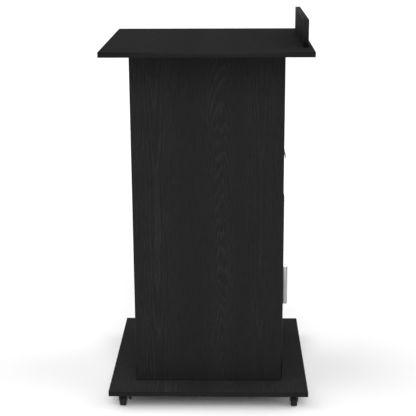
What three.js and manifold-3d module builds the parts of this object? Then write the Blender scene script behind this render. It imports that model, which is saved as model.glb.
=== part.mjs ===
// A rolling pedestal cabinet: a square top on a column with a door, a drawer and an open
// compartment, standing on a square base with four small swivel castors.
// Millimetres, +Z up. The origin is on the floor under the middle of the base.
// The door and the drawer face -Y; the left side panel is on -X.

import * as THREE from 'three';
import { mergeVertices } from 'three/addons/utils/BufferGeometryUtils.js';
import Module from 'manifold-3d';

const wasm = await Module();
wasm.setup();

// ---- driving dimensions ----

const board = 15;           // thickness of every outer board
const slab = 600;           // side of the square top and base boards
const bodyWidth = 434;      // column, across X
const bodyDepth = 444;      // column, along Y
const bodyHeight = 1003;
const casterHeight = 45;
const touchGap = 0.3;       // left between pieces that would touch after a cut

const upstand = { length: 410, height: 78, setback: 13 };
const shelves = { dividerTop: 660, floorTop: 811, innerTop: 367, innerFront: -195, loose: 1 };
const door = { proud: 3, bottom: 62, top: 643, freeEdge: -200, hingeEdge: 199 };
const drawer = {
  front: 200, bottom: 662, top: 794, boxDepth: 392, boxBottom: 672, boxTop: 774, wall: 12,
  floor: 5, floorRise: 3,
};
const pull = { length: 116, depth: 13.5, foot: 16, footThick: 2, web: 2.6, lip: 12, corner: 5.5 };
const doorPull = { edge: 15, centre: 358 };
const hinge = {
  x: 200.5, standOff: 3.2, length: 60, width: 26, leaf: 1, knuckle: 3, bore: 1.35, pin: 1.25,
  endSegment: 15, fromDoorEnd: 90, leafGap: 0.3, turnGap: 0.4, tongueStart: 1.8,
};
const runner = { gap: 13, sheet: 1.2, outerHeight: 36, innerHeight: 26, flange: 8.8, z: 700 };
const magnet = { length: 40, depth: 15, height: 12, x: -165, plate: 1, plateHeight: 11 };
const shelfPin = { radius: 2.5, hole: 2.8, length: 15, bury: 7, inset: 60 };
const caster = { inset: 40, kingpinX: 255, trail: 8, plate: 32, plateThick: 2 };
const race = { radius: 12, bottom: 40.6 };
const kingpin = { radius: 3.5, clearance: 0.1, head: 5.5, headThick: 1.5, chamfer: 0.5 };
const fork = {
  top: 40, headThick: 2, headRadius: 14.5, outer: 25, leg: 2, shoulder: 10.5, overlap: 0.5,
  bossRadius: 5,
};
const axle = { radius: 2, length: 26, forkClearance: 0.05, wheelClearance: 0.08 };
const wheel = { radius: 17.5, width: 18, tyre: 3, hub: 2.5, hubProud: 0.8, rim: 2, dish: 3 };
const brake = {
  width: 18, thick: 1.8, drop: 24.5, reach: 8, inner: 15.5, pivotZ: 39.5, pivotOut: 14.8,
};
const ear = { thick: 2, gap: 0.4, height: 4, past: 1.6 };

// ---- places that follow from them ----

const baseTop = casterHeight + board;
const bodyTop = baseTop + bodyHeight;
const tableTop = bodyTop + board;
const innerX = bodyWidth / 2 - board;       // inner face of a side panel
const frontY = -bodyDepth / 2;
const backInner = bodyDepth / 2 - board;
const doorFace = frontY - door.proud;
const drawerSide = innerX - runner.gap;      // outer face of a drawer side
const drawerBack = frontY + board + drawer.boxDepth;

// ---- materials ----

function finish(color, roughness, metalness) {
  return new THREE.MeshStandardMaterial({ color, roughness, metalness });
}

const blackOak = finish(0x1d1c1c, 0.5, 0);
const blackMelamine = finish(0x201f1f, 0.55, 0);
const satinMetal = finish(0xa9aaab, 0.35, 1);
const zincSteel = finish(0xb4b6b8, 0.4, 1);
const blackPlastic = finish(0x171717, 0.5, 0);
const blackRubber = finish(0x121212, 0.8, 0);

const cabinet = new THREE.Group();

// ---- helpers ----

function place(name, geometry, material, x, y, z, parent = cabinet) {
  const mesh = new THREE.Mesh(geometry, material);
  mesh.name = name;
  mesh.position.set(x, y, z);
  parent.add(mesh);
  return mesh;
}

// A plain block between two corners.
function block([x0, x1], [y0, y1], [z0, z1]) {
  const geometry = new THREE.BoxGeometry(x1 - x0, y1 - y0, z1 - z0);
  return geometry.translate((x0 + x1) / 2, (y0 + y1) / 2, (z0 + z1) / 2);
}

// A board is a block whose mesh sits at its own centre.
function addBoard(name, material, [x0, x1], [y0, y1], [z0, z1]) {
  const geometry = new THREE.BoxGeometry(x1 - x0, y1 - y0, z1 - z0);
  return place(name, geometry, material, (x0 + x1) / 2, (y0 + y1) / 2, (z0 + z1) / 2);
}

function bar(radius, length, sides) {
  return new THREE.CylinderGeometry(radius, radius, length, sides);
}

function solid(geometry) {
  const bare = geometry.clone();
  bare.deleteAttribute('normal');
  bare.deleteAttribute('uv');
  const merged = mergeVertices(bare, 1e-4);
  return new wasm.Manifold(new wasm.Mesh({
    numProp: 3,
    vertProperties: new Float32Array(merged.attributes.position.array),
    triVerts: new Uint32Array(merged.index.array),
  }));
}

function geometryOf(manifold) {
  const mesh = manifold.getMesh();
  const geometry = new THREE.BufferGeometry();
  geometry.setAttribute('position', new THREE.BufferAttribute(mesh.vertProperties, 3));
  geometry.setIndex(new THREE.BufferAttribute(mesh.triVerts, 1));
  geometry.computeVertexNormals();
  return geometry;
}

function join(...pieces) {
  return geometryOf(pieces.map(solid).reduce((a, b) => a.add(b)));
}

function cut(body, ...tools) {
  return geometryOf(tools.map(solid).reduce((a, b) => a.subtract(b), solid(body)));
}

// ---- the carcass ----

const half = slab / 2;
addBoard('base_board', blackOak, [-half, half], [-half, half], [casterHeight, baseTop]);
addBoard('top_board', blackOak, [-half, half], [-half, half], [bodyTop, tableTop]);

const upstandFront = -half + upstand.setback;
addBoard(
  'upstand_board', blackOak,
  [-upstand.length / 2, upstand.length / 2],
  [upstandFront, upstandFront + board],
  [tableTop, tableTop + upstand.height],
);

const pinZ = shelves.innerTop - board - touchGap - shelfPin.radius;
const pinYs = { front: shelves.innerFront + shelfPin.inset, back: backInner - shelfPin.inset };

function sidePanel(sign) {
  const xs = [sign * innerX, sign * (innerX + board)].sort((a, b) => a - b);
  const panel = block(xs, [frontY, -frontY], [baseTop, bodyTop]);
  const holes = Object.values(pinYs).map((y) => {
    const depth = 2 * (shelfPin.bury + touchGap);
    return bar(shelfPin.hole, depth, 16).rotateZ(Math.PI / 2).translate(sign * innerX, y, pinZ);
  });
  return cut(panel, ...holes);
}

for (const [side, sign] of [['left', -1], ['right', 1]]) {
  place(`side_panel_${side}`, sidePanel(sign), blackOak, 0, 0, 0);
  for (const [end, y] of Object.entries(pinYs)) {
    const pin = bar(shelfPin.radius, shelfPin.length, 16).rotateZ(Math.PI / 2);
    const x = sign * (innerX + shelfPin.bury - shelfPin.length / 2);
    place(`shelf_pin_${end}_${side}`, pin, zincSteel, x, y, pinZ);
  }
}

const inside = [-innerX, innerX];
const fullDepth = [frontY, backInner];
addBoard('back_panel', blackOak, inside, [backInner, -frontY], [baseTop, bodyTop]);
addBoard(
  'drawer_divider', blackOak, inside, fullDepth,
  [shelves.dividerTop - board, shelves.dividerTop],
);
addBoard(
  'compartment_floor', blackOak, inside, fullDepth,
  [shelves.floorTop - board, shelves.floorTop],
);
addBoard(
  'inner_shelf', blackOak, [-innerX + shelves.loose, innerX - shelves.loose],
  [shelves.innerFront, backInner - shelves.loose],
  [shelves.innerTop - board, shelves.innerTop],
);

// ---- the pulls: a foot on the board, a web standing out and a lip turned over it ----

function pullProfile() {
  const { depth, foot, footThick, web, lip, corner } = pull;
  const inner = corner - web;
  const shape = new THREE.Shape();
  shape.moveTo(0, 0);
  shape.lineTo(foot, 0);
  shape.lineTo(foot, -footThick);
  shape.lineTo(web, -footThick);
  shape.lineTo(web, -(depth - corner));
  shape.absarc(corner, -(depth - corner), inner, Math.PI, 1.5 * Math.PI, false);
  shape.lineTo(lip - web / 2, -(depth - web));
  shape.absarc(lip - web / 2, -(depth - web / 2), web / 2, 0.5 * Math.PI, -0.5 * Math.PI, true);
  shape.lineTo(corner, -depth);
  shape.absarc(corner, -(depth - corner), corner, 1.5 * Math.PI, Math.PI, true);
  return shape;
}

function pullGeometry() {
  const options = { depth: pull.length, bevelEnabled: false, curveSegments: 8 };
  return new THREE.ExtrudeGeometry(pullProfile(), options).translate(0, 0, -pull.length / 2);
}

// ---- the door ----

addBoard(
  'door_panel', blackOak, [door.freeEdge, door.hingeEdge],
  [doorFace, doorFace + board], [door.bottom, door.top],
);
place(
  'door_pull', pullGeometry(), satinMetal,
  door.freeEdge + doorPull.edge, doorFace, doorPull.centre,
);

// ---- butt hinges: the axis is just in front of the door's corner ----

const hingeY = doorFace - hinge.standOff;
const middle = hinge.length - 2 * hinge.endSegment;

function knuckle(z0, z1) {
  return bar(hinge.knuckle, z1 - z0, 24).rotateX(Math.PI / 2).translate(0, 0, (z0 + z1) / 2);
}

// A leaf lies beside the axis on one side (sign), with knuckles over the given lengths.
function hingeLeaf(sign, lengths) {
  const xs = [sign * hinge.leafGap, sign * (hinge.leafGap + hinge.leaf)].sort((a, b) => a - b);
  const clear = hinge.knuckle + hinge.turnGap;
  const plate = block(xs, [clear, hinge.width], [-hinge.length / 2, hinge.length / 2]);
  const tongues = lengths.map((zs) => block(xs, [hinge.tongueStart, clear + hinge.leaf], zs));
  const knuckles = lengths.map(([z0, z1]) => knuckle(z0, z1));
  const bore = bar(hinge.bore, 2 * hinge.length, 24).rotateX(Math.PI / 2);
  return cut(join(plate, ...tongues, ...knuckles), bore);
}

const segmentGap = touchGap / 2;
const endSegments = [-1, 1].map((end) => {
  const zs = [end * (middle / 2 + segmentGap), end * (hinge.length / 2)];
  return zs.sort((a, b) => a - b);
});
const midSegment = [[-middle / 2 + segmentGap, middle / 2 - segmentGap]];
const hingeZs = { lower: door.bottom + hinge.fromDoorEnd, upper: door.top - hinge.fromDoorEnd };

for (const [end, z] of Object.entries(hingeZs)) {
  const frameLeaf = hingeLeaf(1, endSegments);
  const doorLeaf = hingeLeaf(-1, midSegment);
  const pin = bar(hinge.pin, hinge.length, 24).rotateX(Math.PI / 2);
  place(`hinge_frame_leaf_${end}`, frameLeaf, zincSteel, hinge.x, hingeY, z);
  place(`hinge_door_leaf_${end}`, doorLeaf, zincSteel, hinge.x, hingeY, z);
  place(`hinge_pin_${end}`, pin, zincSteel, hinge.x, hingeY, z);
}

// ---- magnetic catch under the divider, and its plate on the door ----

const catchTop = shelves.dividerTop - board;
const plateFront = doorFace + board;
const catchX = [magnet.x - magnet.length / 2, magnet.x + magnet.length / 2];
addBoard(
  'door_catch', blackPlastic, catchX,
  [plateFront + magnet.plate + touchGap, plateFront + magnet.plate + touchGap + magnet.depth],
  [catchTop - magnet.height, catchTop],
);
addBoard(
  'catch_plate', zincSteel, catchX, [plateFront, plateFront + magnet.plate],
  [door.top - magnet.height, door.top - magnet.height + magnet.plateHeight],
);

// ---- the drawer ----

const drawerFrontBack = frontY + board;
addBoard(
  'drawer_front', blackOak, [-drawer.front, drawer.front],
  [frontY, drawerFrontBack], [drawer.bottom, drawer.top],
);
for (const [side, sign] of [['left', -1], ['right', 1]]) {
  const xs = [sign * (drawerSide - drawer.wall), sign * drawerSide].sort((a, b) => a - b);
  addBoard(
    `drawer_side_${side}`, blackMelamine, xs,
    [drawerFrontBack, drawerBack], [drawer.boxBottom, drawer.boxTop],
  );
}
const drawerInner = drawerSide - drawer.wall;
addBoard(
  'drawer_back', blackMelamine, [-drawerInner, drawerInner],
  [drawerBack - drawer.wall, drawerBack], [drawer.boxBottom, drawer.boxTop],
);
const drawerFloor = drawer.boxBottom + drawer.floorRise;
addBoard(
  'drawer_bottom', blackMelamine, [-drawerInner, drawerInner],
  [drawerFrontBack, drawerBack - drawer.wall], [drawerFloor, drawerFloor + drawer.floor],
);
const drawerPullTop = (drawer.bottom + drawer.top) / 2 + pull.foot / 2;
place(
  'drawer_pull', pullGeometry().rotateY(Math.PI / 2), satinMetal, 0, frontY, drawerPullTop,
);

// ---- drawer runners: a channel on the cabinet holding a smaller one on the drawer ----

// The web stands at x = 0 and the two flanges reach away from it on the side given by sign.
function channel(height, sign, length) {
  const { sheet, flange } = runner;
  const shape = new THREE.Shape();
  shape.moveTo(0, -height / 2);
  shape.lineTo(sign * (sheet + flange), -height / 2);
  shape.lineTo(sign * (sheet + flange), -height / 2 + sheet);
  shape.lineTo(sign * sheet, -height / 2 + sheet);
  shape.lineTo(sign * sheet, height / 2 - sheet);
  shape.lineTo(sign * (sheet + flange), height / 2 - sheet);
  shape.lineTo(sign * (sheet + flange), height / 2);
  shape.lineTo(0, height / 2);
  const geometry = new THREE.ExtrudeGeometry(shape, { depth: length, bevelEnabled: false });
  return geometry.rotateX(Math.PI / 2);
}

for (const [side, sign] of [['left', -1], ['right', 1]]) {
  const outer = channel(runner.outerHeight, -sign, drawer.boxDepth);
  const inner = channel(runner.innerHeight, sign, drawer.boxDepth);
  place(`runner_outer_${side}`, outer, zincSteel, sign * innerX, drawerBack, runner.z);
  place(`runner_inner_${side}`, inner, zincSteel, sign * drawerSide, drawerBack, runner.z);
}

// ---- castors ----

// A bore or pin on the Z axis, centred at height z.
function uprightBar(radius, length, z, sides) {
  return bar(radius, length, sides).rotateX(Math.PI / 2).translate(0, 0, z);
}

function turned(points, sides) {
  return new THREE.LatheGeometry(points.map(([r, y]) => new THREE.Vector2(r, y)), sides);
}

// The mounting plate with the ball race pressed into it; the kingpin passes through both.
function casterPlate() {
  const bottom = casterHeight - caster.plateThick;
  const h = caster.plate / 2;
  const raceTop = bottom + caster.plateThick / 2;
  const raceMiddle = (raceTop + race.bottom) / 2;
  const plate = block([-h, h], [-h, h], [bottom, casterHeight]);
  const ring = uprightBar(race.radius, raceTop - race.bottom, raceMiddle, 32);
  const bore = uprightBar(kingpin.radius + touchGap, caster.plate, casterHeight, 24);
  return cut(join(plate, ring), bore);
}

// The rivet that holds the fork to the plate: a shank with a wider head below the fork.
function kingpinGeometry() {
  const { radius, head, headThick, chamfer } = kingpin;
  const headTop = fork.top - fork.headThick - touchGap;
  const bottom = headTop - headThick;
  const top = casterHeight - touchGap;
  const points = [
    [0, bottom], [head - chamfer, bottom], [head, bottom + chamfer], [head, headTop],
    [radius, headTop], [radius, top], [0, top],
  ];
  return turned(points, 24).rotateX(Math.PI / 2);
}

// A leg hangs from the fork's head and narrows to a round boss about the axle.
function forkLeg() {
  const top = fork.top - fork.overlap;
  const shape = new THREE.Shape();
  shape.moveTo(-fork.shoulder, top);
  shape.lineTo(-caster.trail - fork.bossRadius, wheel.radius);
  shape.absarc(-caster.trail, wheel.radius, fork.bossRadius, Math.PI, 2 * Math.PI, false);
  shape.lineTo(fork.shoulder, top);
  const options = { depth: fork.leg, bevelEnabled: false, curveSegments: 10 };
  return new THREE.ExtrudeGeometry(shape, options).rotateX(Math.PI / 2);
}

// Two ears on the fork's outer side carry the brake lever between them.
function brakeEars() {
  const inner = brake.width / 2 + ear.gap;
  const ys = [-brake.pivotOut - ear.past, fork.overlap - fork.outer / 2];
  return [-1, 1].map((side) => {
    const xs = [side * inner, side * (inner + ear.thick)].sort((a, b) => a - b);
    return block(xs, ys, [fork.top - ear.height, fork.top]);
  });
}

function forkGeometry(braked) {
  const head = uprightBar(fork.headRadius, fork.headThick, fork.top - fork.headThick / 2, 32);
  const near = forkLeg().translate(0, fork.leg - fork.outer / 2, 0);
  const far = forkLeg().translate(0, fork.outer / 2, 0);
  const pinHole = uprightBar(kingpin.radius + kingpin.clearance, fork.outer, fork.top, 24);
  const axleHole = bar(axle.radius + axle.forkClearance, 2 * fork.outer, 24);
  axleHole.translate(-caster.trail, 0, wheel.radius);
  const ears = braked ? brakeEars() : [];
  return cut(join(head, near, far, ...ears), pinHole, axleHole);
}

// The core turns about its own Y: a hub on the axle, a thinner web and the rim under the tyre.
function wheelCore() {
  const bore = axle.radius + axle.wheelClearance;
  const hub = bore + wheel.hub;
  const outer = wheel.radius - wheel.tyre - touchGap / 3;
  const rim = outer - wheel.rim;
  const w = wheel.width / 2;
  const hubEnd = w + wheel.hubProud;
  const rimEnd = w - wheel.hubProud / 2;
  const web = w - wheel.dish;
  const points = [
    [bore, -hubEnd], [hub, -hubEnd], [hub, -web], [rim, -web], [rim, -rimEnd], [outer, -rimEnd],
    [outer, rimEnd], [rim, rimEnd], [rim, web], [hub, web], [hub, hubEnd], [bore, hubEnd],
    [bore, -hubEnd],
  ];
  return turned(points, 40);
}

// The tyre is a ring whose tread rounds off towards both sides.
function tyreGeometry() {
  const inner = wheel.radius - wheel.tyre;
  const outer = wheel.radius;
  const w = wheel.width / 2;
  const round = wheel.tyre / 2;
  const steps = 4;
  const tread = [-1, 1].flatMap((side) => Array.from({ length: steps + 1 }, (_, i) => {
    const turn = (side < 0 ? i : steps - i) / steps * Math.PI / 2;
    const r = outer - round * (1 - Math.sin(turn));
    return [r, side * (w - round * (1 - Math.cos(turn)))];
  }));
  return turned([[inner, -w], ...tread, [inner, w], [inner, -w]], 40);
}

// The brake lever is a wedge hung beside the fork: its tab slopes out and down to a lip.
function brakeLever() {
  const { width, thick, drop, reach, inner } = brake;
  const shape = new THREE.Shape();
  shape.moveTo(0, -inner);
  shape.lineTo(-reach, -drop);
  shape.lineTo(-reach - thick, -drop + thick / 2);
  shape.lineTo(-thick, thick);
  shape.lineTo(0, thick);
  const tab = new THREE.ExtrudeGeometry(shape, { depth: width, bevelEnabled: false });
  return tab.rotateX(Math.PI / 2).rotateZ(Math.PI / 2).translate(-width / 2, 0, 0);
}

const corners = [
  ['front_left', -1, -1], ['front_right', 1, -1], ['back_left', -1, 1], ['back_right', 1, 1],
];
for (const [corner, sx, sy] of corners) {
  const unit = new THREE.Group();
  unit.position.set(sx * caster.kingpinX, sy * (half - caster.inset), 0);
  cabinet.add(unit);
  const braked = sy > 0;
  const axleBar = bar(axle.radius, axle.length, 24);
  const axleAt = [-caster.trail, 0, wheel.radius];
  place(`caster_plate_${corner}`, casterPlate(), blackPlastic, 0, 0, 0, unit);
  place(`caster_kingpin_${corner}`, kingpinGeometry(), zincSteel, 0, 0, 0, unit);
  place(`caster_fork_${corner}`, forkGeometry(braked), blackPlastic, 0, 0, 0, unit);
  place(`caster_axle_${corner}`, axleBar, zincSteel, ...axleAt, unit);
  place(`caster_wheel_${corner}`, wheelCore(), blackPlastic, ...axleAt, unit);
  place(`caster_tyre_${corner}`, tyreGeometry(), blackRubber, ...axleAt, unit);
  if (braked) {
    const leverAt = [0, -brake.pivotOut, brake.pivotZ];
    place(`caster_brake_${corner}`, brakeLever(), blackPlastic, ...leverAt, unit);
  }
}

export default cabinet;
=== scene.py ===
# A rolling pedestal cabinet: a black oak-grain column with a door, a drawer and an open
# compartment, between a square top and a square base on four small castors.
# The door faces -Y, the left side panel -X. Shapes are worked out in millimetres.

import math

import bmesh
import bpy
from mathutils import Matrix, Vector


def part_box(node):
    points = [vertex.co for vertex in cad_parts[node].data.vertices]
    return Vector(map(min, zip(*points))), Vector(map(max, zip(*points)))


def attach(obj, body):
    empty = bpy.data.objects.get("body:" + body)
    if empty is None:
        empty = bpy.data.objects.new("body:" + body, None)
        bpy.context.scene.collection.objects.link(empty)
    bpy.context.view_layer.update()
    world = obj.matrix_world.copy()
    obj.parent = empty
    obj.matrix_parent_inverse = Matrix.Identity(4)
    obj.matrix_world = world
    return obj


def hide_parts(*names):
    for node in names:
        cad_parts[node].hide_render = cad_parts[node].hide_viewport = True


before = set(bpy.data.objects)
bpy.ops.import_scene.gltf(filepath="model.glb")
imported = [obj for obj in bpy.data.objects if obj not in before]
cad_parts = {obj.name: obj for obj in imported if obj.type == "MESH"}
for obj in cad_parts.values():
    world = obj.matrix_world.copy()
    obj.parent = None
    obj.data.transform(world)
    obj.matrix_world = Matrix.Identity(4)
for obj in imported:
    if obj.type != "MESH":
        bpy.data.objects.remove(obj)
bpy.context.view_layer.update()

scene = bpy.context.scene
scene.view_settings.view_transform = "Standard"
print("frame loaded:", len(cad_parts), "nodes")

mixA, mixB, mixOut = 6, 7, 2  # the colour sockets of a Mix node
noiseLow, noiseHigh = 0.3, 0.7  # nearly all of a noise lies between these


def linear(hexColour):
    values = [int(hexColour[i:i + 2], 16) / 255 for i in (1, 3, 5)]
    straight = [v / 12.92 if v <= 0.04045 else ((v + 0.055) / 1.055) ** 2.4 for v in values]
    return (*straight, 1)


def addNode(tree, kind, sockets=None, **settings):
    node = tree.nodes.new(kind)
    for name, value in settings.items():
        setattr(node, name, value)
    for name, value in (sockets or {}).items():
        if isinstance(value, bpy.types.NodeSocket):
            tree.links.new(value, node.inputs[name])
        else:
            node.inputs[name].default_value = value
    return node


def setRamp(ramp, stops):
    # stops are (position, colour) pairs, and a single number is a grey
    while len(ramp.elements) < len(stops):
        ramp.elements.new(1)
    for element, (position, colour) in zip(ramp.elements, stops):
        element.position = position
        element.color = colour if isinstance(colour, tuple) else (colour, colour, colour, 1)


def startMaterial(name):
    material = bpy.data.materials.new(name)
    material.use_nodes = True
    material.node_tree.nodes.clear()
    return material, material.node_tree


def endMaterial(tree, sockets):
    shader = addNode(tree, "ShaderNodeBsdfPrincipled", sockets)
    addNode(tree, "ShaderNodeOutputMaterial", {"Surface": shader.outputs["BSDF"]})


# Black open-pore oak melamine: a printed and embossed paper pressed on particle board. The eye
# gets a near-black ground, slightly paler veins that rise in narrow arches between runs of
# straight lines, and fine pores that break the gloss.
oak = {
    "ground": "#1a1a1a", "vein": "#292929", "pore": "#151515",
    "ior": 1.5, "specular": 0.1, "roughness": (0.8, 0.7),
    "squash": 0.12,          # how far the figure is drawn out along the grain
    "poreWidth": 1.6,        # mm; real pores are 0.3 mm, too fine to show
    "poreLength": 28.0,      # mm
    "poreSpan": (0.35, 0.65),  # pore noise over which a vein goes from faint to whole
    "brokenVein": 0.6,       # how strong a vein stays where the pores break it
    "mottle": 90.0,          # mm, the slow change of tone over a board
    "mottledVein": 0.5,      # how strong a vein stays where the mottle fades it
    "sway": 60.0,            # mm, how far the borders between the columns wander
    "swayLength": 250.0,     # mm, from one bend of a border to the next
    "emboss": 0.12,          # mm, depth of the pores
    "reach": 330.0,          # mm, half of the widest board
    "borders": (-105, 45),   # mm, where one column of the figure gives way to the next
    "borderSoftness": 0.012,
}
# Each column of the figure: where its middle stands across the grain and how deep the heart of
# the tree lies behind it (mm), how far it leans (degrees), the mm between its growth rings,
# and how much and how finely they waver.
oakColumns = [
    {"middle": -155, "heart": 38, "lean": 5, "ring": 5.0, "waver": 7, "ripple": 0.35},
    {"middle": -40, "heart": 62, "lean": -38, "ring": 3.6, "waver": 9, "ripple": 0.5},
    {"middle": 152, "heart": 40, "lean": 7, "ring": 5.5, "waver": 9, "ripple": 0.4},
]
# How strongly the veins stand out across the board: (mm from its middle, strength).
oakStrength = [(-200, 0.7), (-120, 0.65), (-85, 0.3), (-50, 1), (-20, 1), (20, 0.3), (80, 0.35),
               (115, 1), (220, 1)]
# Paleness through one growth ring, and darkness by pore noise.
ringTones = [(0.0, 0.7), (0.15, 0.2), (0.5, 0.1), (0.8, 0.45), (1.0, 1.0)]
poreTones = [(0.32, 1.0), (0.46, 0.0)]
ringTexture = math.tau / 20  # metres between the rings of a wave texture of scale 1


def acrossOak(millimetres):
    # where a distance from the middle of the board falls on the ramps across it; the sway's
    # noise adds half of itself on average
    return (millimetres + oak["sway"] / 2 + oak["reach"]) / (2 * oak["reach"])


def blackOak(name, across, through, along, shift, paintedLightness):
    # the figure runs along one axis of the board and is cut from its own place in the sheet
    # the colours are scaled by a painted lightness: painted light and shade that stand in for
    # how the board is lit
    ground, vein, pore = [
        (*[value * paintedLightness for value in linear(oak[part])[:3]], 1)
        for part in ("ground", "vein", "pore")]
    material, tree = startMaterial(name)
    place = addNode(tree, "ShaderNodeTexCoord")
    parts = addNode(tree, "ShaderNodeSeparateXYZ", {"Vector": place.outputs["Object"]})
    turned = addNode(tree, "ShaderNodeCombineXYZ", {
        "X": parts.outputs[across], "Y": parts.outputs[through], "Z": parts.outputs[along]})
    grain = addNode(tree, "ShaderNodeMapping", {
        "Vector": turned.outputs["Vector"], "Location": [v / 1000 for v in shift]})
    rings = []
    for column in oakColumns:
        ringScale = ringTexture / (column["ring"] / 1000)
        leaning = addNode(tree, "ShaderNodeMapping", {
            "Vector": grain.outputs["Vector"],
            "Location": (-column["middle"] / 1000, column["heart"] / 1000, 0),
            "Rotation": (math.radians(column["lean"]), 0, 0),
            "Scale": (1, 1, oak["squash"])})
        wave = addNode(tree, "ShaderNodeTexWave", {
            "Vector": leaning.outputs["Vector"], "Scale": ringScale,
            "Distortion": column["waver"], "Detail": 3, "Detail Scale": column["ripple"],
            "Detail Roughness": 0.45,
        }, wave_type="RINGS", rings_direction="Z", wave_profile="SAW")
        rings.append(wave.outputs["Fac"])

    # one ramp across the board says which column a point belongs to: red, green or blue
    side = addNode(tree, "ShaderNodeSeparateXYZ", {"Vector": grain.outputs["Vector"]})
    sway = addNode(tree, "ShaderNodeTexNoise", {
        "Vector": grain.outputs["Vector"], "Scale": 1000 / oak["swayLength"], "Detail": 1})
    swayed = addNode(tree, "ShaderNodeMath", {
        0: sway.outputs["Fac"], 1: oak["sway"] / 1000, 2: side.outputs["X"],
    }, operation="MULTIPLY_ADD")
    reach = oak["reach"] / 1000
    spread = addNode(tree, "ShaderNodeMapRange", {
        "Value": swayed.outputs["Value"], "From Min": -reach, "From Max": reach})
    region = addNode(tree, "ShaderNodeValToRGB", {"Fac": spread.outputs["Result"]})
    low, high = [acrossOak(border) for border in oak["borders"]]
    soft = oak["borderSoftness"]
    red, green, blue = (1, 0, 0, 1), (0, 1, 0, 1), (0, 0, 1, 1)
    setRamp(region.color_ramp, [
        (low - soft, red), (low + soft, green), (high - soft, green), (high + soft, blue)])
    emphasis = addNode(tree, "ShaderNodeValToRGB", {"Fac": spread.outputs["Result"]})
    setRamp(emphasis.color_ramp, [(acrossOak(at), value) for at, value in oakStrength])
    threeRings = addNode(tree, "ShaderNodeCombineXYZ", {
        "X": rings[0], "Y": rings[1], "Z": rings[2]})
    figure = addNode(tree, "ShaderNodeVectorMath", {
        0: region.outputs["Color"], 1: threeRings.outputs["Vector"]}, operation="DOT_PRODUCT")
    veins = addNode(tree, "ShaderNodeValToRGB", {"Fac": figure.outputs["Value"]})
    setRamp(veins.color_ramp, ringTones)

    # pores: fine dashes along the grain
    dashScale = 1000 / oak["poreWidth"]
    dashes = addNode(tree, "ShaderNodeMapping", {
        "Vector": grain.outputs["Vector"],
        "Scale": (1, 1, oak["poreWidth"] / oak["poreLength"])})
    streaks = addNode(tree, "ShaderNodeTexNoise", {
        "Vector": dashes.outputs["Vector"], "Scale": dashScale, "Detail": 2, "Roughness": 0.6})
    pores = addNode(tree, "ShaderNodeValToRGB", {"Fac": streaks.outputs["Fac"]})
    setRamp(pores.color_ramp, poreTones)
    faint, whole = oak["poreSpan"]
    broken = addNode(tree, "ShaderNodeMapRange", {
        "Value": streaks.outputs["Fac"], "From Min": faint, "From Max": whole,
        "To Min": oak["brokenVein"]})
    figured = addNode(tree, "ShaderNodeMath", {
        0: veins.outputs["Color"], 1: broken.outputs["Result"]}, operation="MULTIPLY")
    mottle = addNode(tree, "ShaderNodeTexNoise", {
        "Vector": grain.outputs["Vector"], "Scale": 1000 / oak["mottle"], "Detail": 2})
    toned = addNode(tree, "ShaderNodeMapRange", {
        "Value": mottle.outputs["Fac"], "From Min": noiseLow, "From Max": noiseHigh,
        "To Min": oak["mottledVein"]})
    stressed = addNode(tree, "ShaderNodeMath", {
        0: figured.outputs["Value"], 1: emphasis.outputs["Color"]}, operation="MULTIPLY")
    strength = addNode(tree, "ShaderNodeMath", {
        0: stressed.outputs["Value"], 1: toned.outputs["Result"]}, operation="MULTIPLY")

    printed = addNode(tree, "ShaderNodeMix", {
        0: strength.outputs["Value"], mixA: ground, mixB: vein}, data_type="RGBA")
    darkened = addNode(tree, "ShaderNodeMix", {
        0: pores.outputs["Color"], mixA: printed.outputs[mixOut], mixB: pore,
    }, data_type="RGBA")
    dull, glossy = oak["roughness"]
    gloss = addNode(tree, "ShaderNodeMapRange", {
        "Value": streaks.outputs["Fac"], "To Min": dull, "To Max": glossy})
    pressed = addNode(tree, "ShaderNodeBump", {
        "Height": pores.outputs["Color"], "Strength": 0.5, "Distance": oak["emboss"] / 1000,
    }, invert=True)
    endMaterial(tree, {
        "Base Color": darkened.outputs[mixOut], "Roughness": gloss.outputs["Result"],
        "IOR": oak["ior"], "Specular IOR Level": oak["specular"],
        "Normal": pressed.outputs["Normal"]})
    return material


# ABS edge band, extruded and lightly brushed along its length: darker than the faces but
# glossier, with faint lines.
band = {
    "colour": "#0a0a0a", "line": "#131313", "lineLength": 4.8, "roughness": 0.34, "ior": 1.5,
    "specular": 0.12, "ridge": 0.1,  # mm
}


def edgeBand():
    material, tree = startMaterial("blackAbsEdgeBand")
    place = addNode(tree, "ShaderNodeTexCoord")
    lines = addNode(tree, "ShaderNodeTexNoise", {
        "Vector": place.outputs["Object"], "Scale": 1000 / band["lineLength"], "Detail": 3})
    tint = addNode(tree, "ShaderNodeMix", {
        0: lines.outputs["Fac"], mixA: linear(band["colour"]), mixB: linear(band["line"]),
    }, data_type="RGBA")
    ridged = addNode(tree, "ShaderNodeBump", {
        "Height": lines.outputs["Fac"], "Strength": 0.15, "Distance": band["ridge"] / 1000})
    endMaterial(tree, {
        "Base Color": tint.outputs[mixOut], "Roughness": band["roughness"],
        "IOR": band["ior"], "Specular IOR Level": band["specular"],
        "Normal": ridged.outputs["Normal"]})
    return material


glossSpread = 0.06  # how far the roughness of an even finish strays either way


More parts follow.
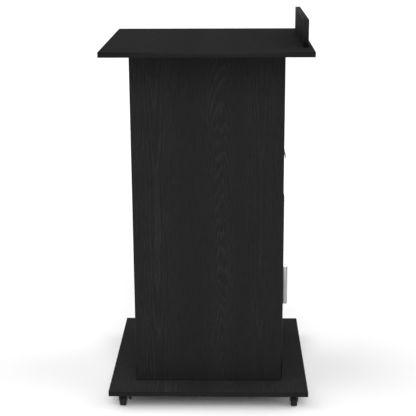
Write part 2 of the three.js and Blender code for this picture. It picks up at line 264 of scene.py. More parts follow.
# A metal or plastic whose surface is even but for fine marks: brushed, tumbled or moulded.
# The marks' size and depth are in millimetres, and stretch draws them out along an axis.
def evenFinish(name, base, mark, roughness, markSize, depth, stretch=(1, 1, 1), metallic=0,
               ior=None, specular=None):
    material, tree = startMaterial(name)
    place = addNode(tree, "ShaderNodeTexCoord")
    drawn = addNode(tree, "ShaderNodeMapping", {
        "Vector": place.outputs["Object"], "Scale": stretch})
    marks = addNode(tree, "ShaderNodeTexNoise", {
        "Vector": drawn.outputs["Vector"], "Scale": 1000 / markSize, "Detail": 3,
        "Roughness": 0.6})
    tint = addNode(tree, "ShaderNodeMix", {
        0: marks.outputs["Fac"], mixA: linear(base), mixB: linear(mark),
    }, data_type="RGBA")
    sheen = addNode(tree, "ShaderNodeMapRange", {
        "Value": marks.outputs["Fac"], "From Min": noiseLow, "From Max": noiseHigh,
        "To Min": roughness - glossSpread, "To Max": roughness + glossSpread})
    worked = addNode(tree, "ShaderNodeBump", {
        "Height": marks.outputs["Fac"], "Strength": 0.3, "Distance": depth / 1000})
    sockets = {
        "Base Color": tint.outputs[mixOut], "Metallic": metallic,
        "Roughness": sheen.outputs["Result"], "Normal": worked.outputs["Normal"]}
    if ior:
        sockets["IOR"] = ior
    if specular is not None:
        sockets["Specular IOR Level"] = specular
    endMaterial(tree, sockets)
    return material


blackBand = edgeBand()
# Anodised aluminium, brushed along its length: bright, soft-edged reflections with fine lines.
aluminium = {
    "base": "#a3a4a5", "mark": "#929394", "roughness": 0.34, "markSize": 0.8, "depth": 0.03,
    "metallic": 1,
}
satinUpright = evenFinish("brushedAluminiumUpright", stretch=(1, 1, 0.04), **aluminium)
satinLevel = evenFinish("brushedAluminiumLevel", stretch=(0.04, 1, 1), **aluminium)
# Zinc-plated pressed steel: cool, a little cloudy.
zinc = evenFinish(
    "zincPlatedSteel", "#b2b5b8", "#94989c", roughness=0.38, markSize=6, depth=0.02, metallic=1)
# Glass-filled nylon, moulded: black with a fine spark texture.
nylon = evenFinish(
    "blackNylon", "#101010", "#171717", roughness=0.48, markSize=0.9, depth=0.06, ior=1.53,
    specular=0.35)
# Thermoplastic rubber, moulded: dull and slightly grey.
rubber = evenFinish(
    "blackRubber", "#0c0c0c", "#131313", roughness=0.78, markSize=1.4, depth=0.08, ior=1.52,
    specular=0.3)
# Smooth black melamine on the drawer box: even, with a pearl of small grain.
melamine = evenFinish(
    "blackMelamine", "#151414", "#1d1c1c", roughness=0.5, markSize=1.5, depth=0.03, ior=1.5,
    specular=0.25)
print("materials made:", len(bpy.data.materials))


def boxOf(node):
    # lowest and highest corner of a CAD node, in millimetres
    return [Vector(corner) * 1000 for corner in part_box(node)]


def roundOff(bm, radius, segments=2, verts=None):
    # rounds the edges that turn by more than 50 degrees, all of them or those of some vertices
    limit = math.radians(50)
    chosen = set(bm.verts if verts is None else verts)
    sharp = [
        e for e in bm.edges if not chosen.isdisjoint(e.verts) and len(e.link_faces) == 2
        and e.calc_face_angle() > limit]
    bmesh.ops.bevel(
        bm, geom=sharp, offset=radius, offset_type="OFFSET", segments=segments, profile=0.5,
        affect="EDGES", material=-1, clamp_overlap=True)


def addBlock(bm, low, high):
    size, centre = Vector(high) - Vector(low), (Vector(high) + Vector(low)) / 2
    verts = bmesh.ops.create_cube(bm, size=1)["verts"]
    bmesh.ops.scale(bm, vec=size, verts=verts)
    bmesh.ops.translate(bm, vec=centre, verts=verts)
    return verts


def addTurned(bm, profile, steps, place=Matrix(), closed=False):
    # profile is (radius, height) pairs spun round Z, then put in place
    before = set(bm.verts)
    line = [bm.verts.new((radius, 0, height)) for radius, height in profile]
    pairs = list(zip(line, line[1:])) + ([(line[-1], line[0])] if closed else [])
    edges = [bm.edges.new(pair) for pair in pairs]
    bmesh.ops.spin(
        bm, geom=line + edges, axis=(0, 0, 1), cent=(0, 0, 0), angle=math.tau, steps=steps,
        use_merge=True)
    verts = [v for v in bm.verts if v not in before]
    bmesh.ops.remove_doubles(bm, verts=verts, dist=0.001)
    verts = [v for v in bm.verts if v not in before]
    faces = list({f for v in verts for f in v.link_faces})
    bmesh.ops.recalc_face_normals(bm, faces=faces)
    bmesh.ops.transform(bm, matrix=place, verts=verts)
    return verts


def addPlate(bm, outline, thickness, corners=(), place=Matrix()):
    # a flat outline in XY, its chosen corners rounded, drawn up by its thickness along Z
    before = set(bm.verts)
    verts = [bm.verts.new((x, y, 0)) for x, y in outline]
    bm.faces.new(verts)
    for index, radius, segments in corners:
        bmesh.ops.bevel(
            bm, geom=[verts[index]], offset=radius, offset_type="OFFSET", segments=segments,
            profile=0.5, affect="VERTICES", material=-1)
    faces = [f for f in bm.faces if all(v not in before for v in f.verts)]
    raised = bmesh.ops.extrude_face_region(bm, geom=faces, use_keep_orig=True)["geom"]
    moved = [g for g in raised if isinstance(g, bmesh.types.BMVert)]
    bmesh.ops.translate(bm, vec=(0, 0, thickness), verts=moved)
    verts = [v for v in bm.verts if v not in before]
    faces = list({f for v in verts for f in v.link_faces})
    bmesh.ops.recalc_face_normals(bm, faces=faces)
    bmesh.ops.transform(bm, matrix=place, verts=verts)
    return verts


def finishPiece(bm, name, materials, body, nodes=()):
    # to metres, shaded smooth but for edges of 40 degrees or more, and set on its body
    limit = math.radians(40)
    bmesh.ops.scale(bm, vec=(0.001, 0.001, 0.001), verts=bm.verts)
    for face in bm.faces:
        face.smooth = True
    for rim in bm.edges:
        rim.smooth = len(rim.link_faces) == 2 and rim.calc_face_angle() < limit
    mesh = bpy.data.meshes.new(name)
    bm.to_mesh(mesh)
    bm.free()
    for material in materials:
        mesh.materials.append(material)
    piece = bpy.data.objects.new(name, mesh)
    scene.collection.objects.link(piece)
    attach(piece, body)
    if nodes:
        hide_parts(*nodes)


# The boards: a pressed core between two faces, with a band glued round its edges.
boardMake = {"band": 1.0, "round": 0.6, "segments": 2}
boards = {
    # CAD node: (name, axis through it, axis of its grain, start in the sheet, painted lightness,
    # body)
    # the painted lightness is painted light and shade: the base is painted lighter, the top and
    # the left side panel darker, for how each is lit
    "base_board": ("baseBoard", "Z", "X", (25, 12, 300), 1.5, "cabinet"),
    "top_board": ("topBoard", "Z", "X", (-20, 0, -250), 0.84, "cabinet"),
    "upstand_board": ("crestBoard", "Y", "X", (40, 8, 120), 1.0, "cabinet"),
    "side_panel_left": ("leftSidePanel", "X", "Z", (0, 0, 0), 0.9, "cabinet"),
    "side_panel_right": ("rightSidePanel", "X", "Z", (15, 6, 400), 1.0, "cabinet"),
    "back_panel": ("backPanel", "Y", "Z", (-12, 10, -350), 1.0, "cabinet"),
    "drawer_divider": ("drawerDivider", "Z", "X", (30, 4, 500), 1.0, "cabinet"),
    "compartment_floor": ("compartmentFloor", "Z", "X", (-35, 9, 650), 1.0, "cabinet"),
    "inner_shelf": ("innerShelf", "Z", "X", (10, 3, -600), 1.0, "cabinet"),
    "door_panel": ("doorPanel", "Y", "Z", (18, 5, 220), 1.0, "door"),
    "drawer_front": ("drawerFront", "Y", "X", (-30, 7, 820), 1.0, "drawer"),
}
for node, (name, through, along, start, paintedLightness, body) in boards.items():
    low, high = boxOf(node)
    centre = (low + high) / 2
    axis = "XYZ".index(through)
    across = next(letter for letter in "YXZ" if letter not in (through, along))
    shift = [s - c for s, c in zip(start, (
        centre["XYZ".index(across)], centre[axis], centre["XYZ".index(along)]))]
    face = blackOak(name + "Oak", across, through, along, shift, paintedLightness)
    bm = bmesh.new()
    addBlock(bm, low, high)
    bm.normal_update()
    broad = [f for f in bm.faces if abs(f.normal[axis]) > 0.9]
    for f in bm.faces:
        f.material_index = 0 if f in broad else 1
    ring = bmesh.ops.inset_individual(
        bm, faces=broad, thickness=boardMake["band"], depth=0, use_even_offset=True)["faces"]
    for f in ring:
        f.material_index = 1
    roundOff(bm, boardMake["round"], boardMake["segments"])
    finishPiece(bm, name, [face, blackBand], body, [node])
print("boards made:", len(boards))


# Countersunk screws: a flat head with a round socket, set just proud of what it holds.
screw = {"proud": 0.25, "socket": 1.1, "socketFlare": 1.1, "deep": 0.2, "steps": 16}


def addScrew(bm, place, head):
    rim = head - screw["proud"]
    floor = screw["deep"] - screw["proud"]
    addTurned(bm, [
        (0, floor), (screw["socket"], floor),
        (screw["socket"] * screw["socketFlare"], screw["proud"]), (rim, screw["proud"]),
        (head, 0)], screw["steps"], place)


def facing(point, direction):
    # turns +Z to a direction and moves it to a point
    turn = Vector((0, 0, 1)).rotation_difference(Vector(direction)).to_matrix().to_4x4()
    return Matrix.Translation(point) @ turn


# The pulls: a foot on the board, a web standing out, and a lip turned over the fingers.
pull = {
    "foot": 16, "footThick": 2, "web": 2.6, "depth": 13.5, "lip": 12, "outerRound": 5.5,
    "lipRound": 1.25, "edgeRound": 0.35, "screwApart": 96, "screwAt": 9.5, "screwHead": 2.6,
}


def addPull(bm, length, place):
    web, depth = pull["web"], pull["depth"]
    outline = [
        (0, 0), (pull["foot"], 0), (pull["foot"], -pull["footThick"]),
        (web, -pull["footThick"]), (web, web - depth), (pull["lip"], web - depth),
        (pull["lip"], -depth), (0, -depth)]
    corners = [
        (4, pull["outerRound"] - web, 6), (5, pull["lipRound"], 3), (6, pull["lipRound"], 3),
        (7, pull["outerRound"], 8)]
    centred = Matrix.Translation((0, 0, -length / 2))
    verts = addPlate(bm, outline, length, corners, place @ centred)
    roundOff(bm, pull["edgeRound"], verts=verts)
    for along in (-pull["screwApart"] / 2, pull["screwApart"] / 2):
        spot = Vector((pull["screwAt"], -pull["footThick"], along))
        addScrew(bm, place @ facing(spot, (0, -1, 0)), pull["screwHead"])


for node, name, finish, body, turnTo in [
    ("door_pull", "doorPull", satinUpright, "door", Matrix()),
    ("drawer_pull", "drawerPull", satinLevel, "drawer", Matrix.Rotation(math.pi / 2, 4, "Y")),
]:
    low, high = boxOf(node)
    length = max(high - low)
    middle = (low + high) / 2
    corner = Vector((low.x, high.y, middle.z)) if body == "door" else Vector((
        middle.x, high.y, high.z))
    bm = bmesh.new()
    addPull(bm, length, Matrix.Translation(corner) @ turnTo)
    finishPiece(bm, name, [finish], body, [node])
print("pulls made")


# outline x to Y, outline y to Z, thickness to X
upright = Matrix(((0, 0, 1, 0), (1, 0, 0, 0), (0, 1, 0, 0), (0, 0, 0, 1)))
# outline x to X, outline y to Z, thickness to -Y
standing = Matrix.Rotation(math.pi / 2, 4, "X")


# Butt hinges: two pressed leaves with rolled knuckles on one pin.
hinge = {
    "knuckle": 3.0, "bore": 1.3, "knuckleRound": 0.25,
    "doorHalf": 14.85, "knuckleGap": 0.3,   # half of the door's knuckle, and the gap beside it
    "leaf": 1.0, "leafFace": 1.3,           # thickness, and where its outer face stands
    "turnGap": 0.4, "tongueFrom": 1.8, "tongueOverlap": 0.5,
    "corner": 4.0, "leafRound": 0.15, "tongueRound": 0.1,
    "screwRows": (-22, 0, 22), "screwFromAxis": 15, "screwHead": 2.4,
    "pinPlay": 0.05, "pinHead": 2.2, "pinHeadThick": 0.6, "pinHeadSlope": 0.4,
    "pinHeadGap": 0.1,
}


def addKnuckle(bm, axis, low, high):
    r, soft, bore = hinge["knuckle"], hinge["knuckleRound"], hinge["bore"]
    addTurned(bm, [
        (bore, low), (r - soft, low), (r, low + soft), (r, high - soft), (r - soft, high),
        (bore, high)], 24, Matrix.Translation(axis), closed=True)


def makeLeaf(part, end, axis, halfLength):
    side, body = (1, "cabinet") if part == "frame" else (-1, "door")
    node = f"hinge_{part}_leaf_{end}"
    low, high = boxOf(node)
    bm = bmesh.new()
    outer = axis.x + side * hinge["leafFace"]
    inner = outer - side * hinge["leaf"]
    left, right = min(outer, inner), max(outer, inner)
    near = axis.y + hinge["knuckle"] + hinge["turnGap"]
    outline = [
        (near, -halfLength), (high.y, -halfLength), (high.y, halfLength), (near, halfLength)]
    verts = addPlate(
        bm, outline, hinge["leaf"], [(1, hinge["corner"], 5), (2, hinge["corner"], 5)],
        Matrix.Translation((left, 0, axis.z)) @ upright)
    roundOff(bm, hinge["leafRound"], verts=verts)
    doorHalf = hinge["doorHalf"]
    frameFrom = doorHalf + hinge["knuckleGap"]
    lengths = [(-halfLength, -frameFrom), (frameFrom, halfLength)]
    if part == "door":
        lengths = [(-doorHalf, doorHalf)]
    for start, stop in lengths:
        addKnuckle(bm, axis, start, stop)
        tongue = addBlock(
            bm, (left, axis.y + hinge["tongueFrom"], axis.z + start),
            (right, near + hinge["tongueOverlap"], axis.z + stop))
        roundOff(bm, hinge["tongueRound"], verts=tongue)
    for row in hinge["screwRows"]:
        spot = (inner, axis.y + hinge["screwFromAxis"], axis.z + row)
        addScrew(bm, facing(spot, (-side, 0, 0)), hinge["screwHead"])
    finishPiece(bm, f"{part}Leaf{end.title()}", [zinc], body, [node])


for end in ("upper", "lower"):
    pinLow, pinHigh = boxOf("hinge_pin_" + end)
    axis = (pinLow + pinHigh) / 2
    halfLength = (pinHigh.z - pinLow.z) / 2
    makeLeaf("frame", end, axis, halfLength)
    makeLeaf("door", end, axis, halfLength)
    bm = bmesh.new()
    r, head = hinge["bore"] - hinge["pinPlay"], hinge["pinHead"]
    tip = head - hinge["pinHeadSlope"]
    far, near = halfLength + hinge["pinHeadThick"], halfLength + hinge["pinHeadGap"]
    addTurned(bm, [
        (0, -far), (tip, -far), (head, -near), (r, -near), (r, near), (head, near), (tip, far),
        (0, far)], 24, Matrix.Translation(axis))
    finishPiece(
        bm, f"hingePin{end.title()}", [zinc], "cabinet", ["hinge_pin_" + end])
print("hinges made")


# The catch: a magnet case under the divider with two pole plates, and a strike on the door.
catch = {
    "round": 1.2, "pole": (30, 1.2), "poleGap": 5, "poleProud": 0.15, "poleDeep": 2,
    "poleRound": 0.1, "strikeRound": 0.3, "screws": 14, "screwHead": 2.4,
}
bm = bmesh.new()
low, high = boxOf("door_catch")
addBlock(bm, low, high)
roundOff(bm, catch["round"], 3)
finishPiece(bm, "catchCase", [nylon], "cabinet", ["door_catch"])
bm = bmesh.new()
middle = (low + high) / 2
poleLength, poleThick = catch["pole"]
for side in (-1, 1):
    z = middle.z + side * catch["poleGap"] / 2
    pole = addBlock(
        bm, (middle.x - poleLength / 2, low.y - catch["poleProud"], z - poleThick / 2),
        (middle.x + poleLength / 2, low.y + catch["poleDeep"], z + poleThick / 2))
    roundOff(bm, catch["poleRound"], verts=pole)
finishPiece(bm, "catchPoles", [zinc], "cabinet")
bm = bmesh.new()
low, high = boxOf("catch_plate")
addBlock(bm, low, high)
roundOff(bm, catch["strikeRound"])
for side in (-1, 1):
    spot = ((low.x + high.x) / 2 + side * catch["screws"], high.y, (low.z + high.z) / 2)
    addScrew(bm, facing(spot, (0, 1, 0)), catch["screwHead"])
finishPiece(bm, "catchStrike", [zinc], "door", ["catch_plate"])
print("catch made")


# Shelf pins with a collar, and the sleeved holes above and below them for other heights.
shelf = {
    "pitch": 32, "rows": (-3, -2, -1, 1, 2, 3), "collar": 4.2, "collarThick": 0.7,
    "sleeve": 3.8, "sleeveProud": 0.5, "sleeveSlope": 0.4, "hole": 2.5, "holeFloor": 0.05,
    "pinRound": 0.5, "pinDepth": 6,
}
for side, sign in (("left", -1), ("right", 1)):
    panelLow, panelHigh = boxOf("side_panel_" + side)
    wall = panelHigh.x if sign < 0 else panelLow.x
    inwards = (-sign, 0, 0)
    sleeves = bmesh.new()
    for end in ("front", "back"):
        node = f"shelf_pin_{end}_{side}"
        low, high = boxOf(node)
        centre = (low + high) / 2
        r, soft = (high.z - low.z) / 2, shelf["pinRound"]
        reach = abs((low.x if sign > 0 else high.x) - wall)
        bm = bmesh.new()
        addTurned(bm, [
            (0, -shelf["pinDepth"]), (r, -shelf["pinDepth"]), (r, 0), (shelf["collar"], 0),
            (shelf["collar"], shelf["collarThick"]), (r, shelf["collarThick"]),
            (r, reach - soft), (r - soft, reach), (0, reach)], 24,
            facing((wall, centre.y, centre.z), inwards))
        finishPiece(
            bm, f"shelfPin{end.title()}{side.title()}", [zinc], "cabinet", [node])
        for row in shelf["rows"]:
            spot = (wall, centre.y, centre.z + row * shelf["pitch"])
            addTurned(sleeves, [
                (0, shelf["holeFloor"]), (shelf["hole"], shelf["holeFloor"]),
                (shelf["hole"], shelf["sleeveProud"]),
                (shelf["sleeve"] - shelf["sleeveSlope"], shelf["sleeveProud"]),
                (shelf["sleeve"], 0)], 20, facing(spot, inwards))
    finishPiece(sleeves, f"pinSleeves{side.title()}", [zinc], "cabinet")
print("shelf fittings made")


# Cam caps: thin domed covers over the fittings that draw the boards together.
camCap = {
    "radius": 8.5, "thick": 0.9, "fromEnd": 34, "rows": (-150, 120),  # rows from the middle
    "dome": ((0, 1), (0.6, 0.9), (0.9, 0.55), (1, 0)),  # shares of radius and thickness
}
bm = bmesh.new()
dome = [(r * camCap["radius"], rise * camCap["thick"]) for r, rise in camCap["dome"]]
for side, sign in (("left", -1), ("right", 1)):
    panelLow, panelHigh = boxOf("side_panel_" + side)
    wall = panelHigh.x if sign < 0 else panelLow.x
    for y in camCap["rows"]:
        for z in (panelLow.z + camCap["fromEnd"], panelHigh.z - camCap["fromEnd"]):
            addTurned(bm, dome, 28, facing((wall, y, z), (-sign, 0, 0)))
finishPiece(bm, "camCaps", [nylon], "cabinet")


# The drawer box: thin melamine boards screwed to the front from inside.
drawerBox = {"round": 0.8}
for node, name in (
    ("drawer_side_left", "leftDrawerSide"), ("drawer_side_right", "rightDrawerSide"),
    ("drawer_back", "drawerBackBoard"), ("drawer_bottom", "drawerBottomBoard"),
):
    bm = bmesh.new()
    addBlock(bm, *boxOf(node))
    roundOff(bm, drawerBox["round"])
    finishPiece(bm, name, [melamine], "drawer", [node])
print("drawer box made")


# Ball-bearing runners: a channel on the panel, a smaller one on the drawer, balls between.
runner = {"sheet": 1.2, "bend": 2.2, "ball": 1.8, "balls": 6, "ballPitch": 9, "fromFront": 14}


def addChannel(bm, wall, lip, low, high, front, back):
    # a C of sheet steel: its web stands at x = wall and its flanges reach to x = lip
    t = runner["sheet"] if lip > wall else -runner["sheet"]
    s = abs(t)
    outline = [
        (wall, low), (lip, low), (lip, low + s), (wall + t, low + s),
        (wall + t, high - s), (lip, high - s), (lip, high), (wall, high)]
    bend = runner["bend"]
    corners = [(0, bend, 4), (3, bend - s, 3), (4, bend - s, 3), (7, bend, 4)]
    place = Matrix.Translation((0, back, 0)) @ standing
    return addPlate(bm, outline, back - front, corners, place)


for side, sign in (("left", -1), ("right", 1)):
    outerLow, outerHigh = boxOf("runner_outer_" + side)
    innerLow, innerHigh = boxOf("runner_inner_" + side)
    far, near = (outerLow.x, outerHigh.x) if sign < 0 else (outerHigh.x, outerLow.x)
    bm = bmesh.new()
    addChannel(bm, far, near, outerLow.z, outerHigh.z, outerLow.y, outerHigh.y)
    finishPiece(
        bm, "outerRunner" + side.title(), [zinc], "cabinet",
        ["runner_outer_" + side])
    web, lip = (innerHigh.x, innerLow.x) if sign < 0 else (innerLow.x, innerHigh.x)
    bm = bmesh.new()
    addChannel(bm, web, lip, innerLow.z, innerHigh.z, innerLow.y, innerHigh.y)
    finishPiece(
        bm, "innerRunner" + side.title(), [zinc], "drawer",
        ["runner_inner_" + side])
    bm = bmesh.new()
    ballX = (near + lip) / 2
    gap = (outerHigh.z - runner["sheet"] - innerHigh.z) / 2
    for level in (innerLow.z - gap, innerHigh.z + gap):
        for i in range(runner["balls"]):
            y = outerLow.y + runner["fromFront"] + i * runner["ballPitch"]
            made = bmesh.ops.create_uvsphere(
                bm, u_segments=12, v_segments=8, radius=runner["ball"])
            bmesh.ops.translate(bm, vec=(ballX, y, level), verts=made["verts"])
    finishPiece(bm, "runnerBalls" + side.title(), [zinc], "cabinet")
print("runners made")


# Castors: a plate with a ball race, a moulded fork on a kingpin, and a wheel on its axle.
# Places are from the kingpin's foot on the floor; the wheel trails behind it. Outlines to be
# turned are (radius, height) pairs; those of the wheel are half of it, (radius, half width).
castor = {
    "plateBottom": 43, "plateRound": 3.5, "plateEdge": 0.3,
    "screwFromMiddle": 12.4, "screwHead": 2.3,
    "race": [
        (3.9, 43.5), (10.8, 43.5), (12, 42.6), (12, 41.9), (11.2, 41.6), (11.2, 41.2),
        (11.5, 40.8), (11, 40.6), (3.9, 40.6)],
    "kingpin": 3.4, "rivet": [(0, 0), (3.8, 0), (5.1, 0.6), (5.4, 1.1), (5.4, 1.5)],
    "forkTop": 40, "forkHalf": 12.5,
    "forkHead": [(3.7, 38), (12.5, 37.6), (14.5, 38.6), (14.5, 39.6), (14.1, 40), (3.7, 40)],
    "leg": 2, "legSink": 0.5, "legRound": 0.5, "flare": 1.2, "shoulder": 10.5,
    "boss": 5, "bossRound": 4.7, "bossLift": 0.4,
    "axle": 1.95, "axleEnd": 1.6, "axleRound": 0.4,
    "cap": [(1.9, 0), (4.2, 0), (3.7, 0.35), (1.9, 0.5)],
    "core": [
        (2.1, 9.8), (4.2, 9.8), (4.6, 9.4), (5.1, 5.8), (11.9, 5.8), (12.3, 8.2), (12.7, 8.6),
        (14.3, 8.4)],
    "ribs": 5, "ribHalf": 0.7, "ribFrom": 3.6, "ribTo": 12.9, "ribReach": 8, "ribRound": 0.3,
    "tyre": [
        (14.4, 9), (15.9, 9), (16.9, 8.5), (17.4, 7.5), (17.5, 6.4), (17.5, 1.1), (17, 0.7)],
}
lever = {
    "half": 9, "thick": 1.8, "reach": 8, "drop": 24.5, "inner": 15.5, "out": 14.8,
    "height": 39.5, "round": 0.5,
    "grips": (0.6, 0.74, 0.88), "gripHalf": 7, "gripWidth": 0.5, "gripRise": 0.6,
    "gripSink": 0.2,
    "earInner": 9.4, "earOuter": 11.4, "earY": (-18.2, -11.5), "earZ": (36, 42.2),
    "earRound": 0.7,
    "pinOut": 15.7, "pinHeight": 40.4, "pinHalf": 11.6, "pin": 0.8, "pinHead": 1.5,
    "pinHeadThick": 0.6, "pinTip": 1.3, "pinTipThick": 0.4,
}
alongY = Matrix.Rotation(-math.pi / 2, 4, "X")


def mirrored(half):
    # a wheel's whole outline from the half of it that stands out to one side
    return [(r, -w) for r, w in half] + [(r, w) for r, w in reversed(half)]


def makePlate(corner, title, foot):
    plateLow, plateHigh = boxOf("caster_plate_" + corner)
    x, y = (plateHigh.x - plateLow.x) / 2, (plateHigh.y - plateLow.y) / 2
    bottom = castor["plateBottom"]
    bm = bmesh.new()
    verts = addPlate(
        bm, [(-x, -y), (x, -y), (x, y), (-x, y)], plateHigh.z - bottom,
        [(i, castor["plateRound"], 4) for i in range(4)],
        Matrix.Translation((foot.x, foot.y, bottom)))
    roundOff(bm, castor["plateEdge"], verts=verts)
    addTurned(bm, castor["race"], 40, Matrix.Translation(foot), closed=True)
    finishPiece(
        bm, "castorPlate" + title, [nylon], "cabinet",
        ["caster_plate_" + corner])

    bm = bmesh.new()
    off = castor["screwFromMiddle"]
    for sx in (-1, 1):
        for sy in (-1, 1):
            spot = foot + Vector((sx * off, sy * off, bottom))
            addScrew(bm, facing(spot, (0, 0, -1)), castor["screwHead"])
    finishPiece(bm, "plateScrews" + title, [zinc], "cabinet")


def makeFork(corner, title, foot, hub, braked):
    fork = "caster_fork_" + corner
    bm = bmesh.new()
    addTurned(bm, castor["forkHead"], 40, Matrix.Translation(foot), closed=True)
    top, shoulder, boss = castor["forkTop"], castor["shoulder"], castor["boss"]
    x, z = hub.x - foot.x, hub.z
    root, low = top - castor["legSink"], z - boss + castor["bossLift"]
    outline = [(-shoulder, root), (x - boss, low), (x + boss, low), (shoulder, root)]
    half, leg, bossRound = castor["forkHalf"], castor["leg"], castor["bossRound"]
    for back in (leg - half, half):
        verts = addPlate(
            bm, outline, leg, [(1, bossRound, 6), (2, bossRound, 6)],
            Matrix.Translation(foot + Vector((0, back, 0))) @ standing)
        for v in verts:
            rise = max(0, v.co.z - z) / (top - z)
            v.co.y += math.copysign(castor["flare"] * rise, v.co.y - foot.y)
        roundOff(bm, castor["legRound"], 3, verts)
    if braked:
        (nearY, farY), (lowZ, highZ) = lever["earY"], lever["earZ"]
        for sign in (-1, 1):
            lowX, highX = sorted((sign * lever["earInner"], sign * lever["earOuter"]))
            ear = addBlock(
                bm, foot + Vector((lowX, nearY, lowZ)), foot + Vector((highX, farY, highZ)))
            roundOff(bm, lever["earRound"], 3, ear)
    finishPiece(bm, "fork" + title, [nylon], fork, [fork])


def makeAxle(corner, title, hub, reach):
    fork = "caster_fork_" + corner
    turned = Matrix.Translation(hub) @ alongY
    r, end, soft = castor["axle"], castor["axleEnd"], castor["axleRound"]
    bm = bmesh.new()
    addTurned(bm, [
        (0, -reach), (end, -reach), (r, soft - reach), (r, reach - soft), (end, reach),
        (0, reach)], 20, turned)
    for sign in (-1, 1):
        face = castor["forkHalf"]
        addTurned(bm, [(r, sign * (face + rise)) for r, rise in castor["cap"]], 24, turned)
    finishPiece(bm, "axle" + title, [zinc], fork, ["caster_axle_" + corner])


def makeWheel(corner, title, hub):
    spin = "caster_wheel_" + corner
    turned = Matrix.Translation(hub) @ alongY
    bm = bmesh.new()
    addTurned(bm, mirrored(castor["core"]), 48, turned, closed=True)
    near, far, rib = castor["ribFrom"], castor["ribTo"], castor["ribHalf"]
    reach = castor["ribReach"]
    outline = [(near, -rib), (far, -rib), (far, rib), (near, rib)]
    for i in range(castor["ribs"]):
        turn = Matrix.Rotation(math.tau * i / castor["ribs"], 4, "Z")
        verts = addPlate(
            bm, outline, 2 * reach, (), turned @ turn @ Matrix.Translation((0, 0, -reach)))
        roundOff(bm, castor["ribRound"], verts=verts)
    finishPiece(bm, "wheelCore" + title, [nylon], spin, [spin])

    bm = bmesh.new()
    addTurned(bm, mirrored(castor["tyre"]), 64, turned, closed=True)
    finishPiece(bm, "tyre" + title, [rubber], spin, ["caster_tyre_" + corner])


def makeBrake(corner, title, foot):
    brake, fork = "caster_brake_" + corner, "caster_fork_" + corner
    reach, drop, thick, half = lever["reach"], lever["drop"], lever["thick"], lever["half"]
    pivot = foot + Vector((-half, -lever["out"], lever["height"]))
    outline = [
        (0, -lever["inner"]), (-reach, -drop), (-reach - thick, thick / 2 - drop),
        (-thick, thick), (0, thick)]
    bm = bmesh.new()
    verts = addPlate(bm, outline, 2 * half, (), Matrix.Translation(pivot) @ upright)
    roundOff(bm, lever["round"], 3, verts)
    # ribs to press with the toe, lying on the lever's outer slope
    slope = Vector((0, -reach, -drop)).normalized()
    turn = Vector((0, -1, 0)).rotation_difference(slope).to_matrix().to_4x4()
    x, y = lever["gripHalf"], lever["gripWidth"]
    for share in lever["grips"]:
        spot = pivot + Vector((
            half, -thick - reach * share, thick * (1 - share / 2) - drop * share))
        addPlate(
            bm, [(-x, -y), (x, -y), (x, y), (-x, y)], lever["gripRise"], (),
            Matrix.Translation(spot) @ turn @ Matrix.Translation((0, 0, -lever["gripSink"])))
    finishPiece(bm, "brakeLever" + title, [nylon], brake, [brake])

    bm = bmesh.new()
    spot = foot + Vector((0, -lever["pinOut"], lever["pinHeight"]))
    long, r, head, tip = lever["pinHalf"], lever["pin"], lever["pinHead"], lever["pinTip"]
    under, over = long - lever["pinHeadThick"], long - lever["pinTipThick"]
    addTurned(bm, [
        (0, -long), (tip, -long), (head, -over), (r, -under), (r, under), (head, over),
        (tip, long), (0, long)], 16, facing(spot, (1, 0, 0)))
    finishPiece(bm, "brakePin" + title, [zinc], fork)


def makeCastor(corner, braked):
    pinLow, pinHigh = boxOf("caster_kingpin_" + corner)
    axleLow, axleHigh = boxOf("caster_axle_" + corner)
    foot = Vector(((pinLow.x + pinHigh.x) / 2, (pinLow.y + pinHigh.y) / 2, 0))
    hub = (axleLow + axleHigh) / 2
    title = "".join(word.title() for word in corner.split("_"))
    makePlate(corner, title, foot)
    bm = bmesh.new()
    low, high, pin = pinLow.z, pinHigh.z, castor["kingpin"]
    rivet = [(r, low + rise) for r, rise in castor["rivet"]]
    addTurned(bm, [*rivet, (pin, rivet[-1][1]), (pin, high), (0, high)], 32,
              Matrix.Translation(foot))
    finishPiece(
        bm, "kingpin" + title, [zinc], "cabinet", ["caster_kingpin_" + corner])
    makeFork(corner, title, foot, hub, braked)
    makeAxle(corner, title, hub, (axleHigh.y - axleLow.y) / 2)
    makeWheel(corner, title, hub)
    if braked:
        makeBrake(corner, title, foot)


for corner in ("front_left", "front_right", "back_left", "back_right"):
    makeCastor(corner, corner.startswith("back"))
print("castors made")


# The floor: a pale, matt painted sweep.
sweep = {
    "halfWidth": 40,  # m
    "colour": "#f8f8f8", "cloud": "#fbfbfb", "roughness": 0.9, "specular": 0.1,
}


def paleFloor():
    material, tree = startMaterial("paleFloor")
    place = addNode(tree, "ShaderNodeTexCoord")
    cloud = addNode(tree, "ShaderNodeTexNoise", {
        "Vector": place.outputs["Object"], "Scale": 2, "Detail": 2})
    tint = addNode(tree, "ShaderNodeMix", {
        0: cloud.outputs["Fac"], mixA: linear(sweep["colour"]), mixB: linear(sweep["cloud"]),
    }, data_type="RGBA")
    endMaterial(tree, {
        "Base Color": tint.outputs[mixOut], "Roughness": sweep["roughness"],
        "Specular IOR Level": sweep["specular"]})
    return material


bm = bmesh.new()
bmesh.ops.create_grid(bm, x_segments=1, y_segments=1, size=sweep["halfWidth"])
floorMesh = bpy.data.meshes.new("floor")
bm.to_mesh(floorMesh)
bm.free()
floorMesh.materials.append(paleFloor())
floor = bpy.data.objects.new("floor", floorMesh)
scene.collection.objects.link(floor)

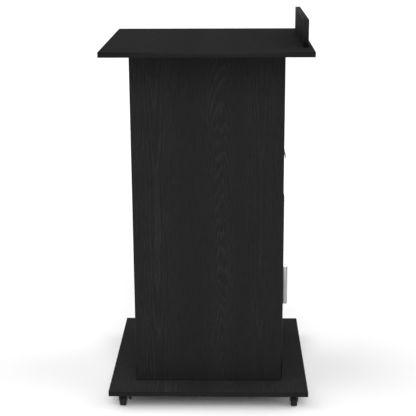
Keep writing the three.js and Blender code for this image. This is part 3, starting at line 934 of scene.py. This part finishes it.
# Soft studio light: a broad key lamp above the left side and a low one in front of it, fills
# over the other sides, a faint rim light, a dim room and the floor's own bounce.
lamps = {
    # name: (strength, spread, height above the horizon, direction it stands in), in degrees
    "key": (1.7, 35, 45, 184),
    "lowFill": (0.8, 40, 10, 182),
    "doorFill": (1.5, 60, 32, -90),
    "backFill": (1.5, 60, 50, 95),
    "rightFill": (0.25, 40, 65, -5),
    "rimLight": (0.02, 40, 18, 2),
}
room = 0.13
world = bpy.data.worlds.new("studio")
scene.world = world
world.use_nodes = True
world.node_tree.nodes.clear()
path = addNode(world.node_tree, "ShaderNodeLightPath")
seen = addNode(world.node_tree, "ShaderNodeMapRange", {
    "Value": path.outputs["Is Camera Ray"], "To Min": room, "To Max": 1})
air = addNode(world.node_tree, "ShaderNodeBackground", {
    "Color": (1, 1, 1, 1), "Strength": seen.outputs["Result"]})
addNode(world.node_tree, "ShaderNodeOutputWorld", {"Surface": air.outputs["Background"]})

for name, (strength, spread, height, direction) in lamps.items():
    lamp = bpy.data.lights.new(name, "SUN")
    lamp.energy = strength
    lamp.angle = math.radians(spread)
    lampObject = bpy.data.objects.new(name, lamp)
    lampObject.rotation_euler = (0, math.radians(90 - height), math.radians(direction))
    scene.collection.objects.link(lampObject)

# The camera looks at the left side panel from above, slightly turned to the back.
eye = {
    "place": (-3.212, -0.066, 1.457), "down": 15.77, "turn": 1.25, "roll": -0.30,
    "lens": 91.79, "sensor": 36,
}
cameraData = bpy.data.cameras.new("camera")
cameraData.lens = eye["lens"]
cameraData.sensor_width = eye["sensor"]
cameraData.dof.use_dof = False
camera = bpy.data.objects.new("camera", cameraData)
down, turn = math.radians(eye["down"]), math.radians(eye["turn"])
aim = Vector((math.cos(turn) * math.cos(down), math.sin(turn) * math.cos(down), -math.sin(down)))
aimed = aim.to_track_quat("-Z", "Y").to_matrix().to_4x4()
rolled = aimed @ Matrix.Rotation(math.radians(eye["roll"]), 4, "Z")
camera.matrix_world = Matrix.Translation(eye["place"]) @ rolled
scene.collection.objects.link(camera)
scene.camera = camera
print("stage set")
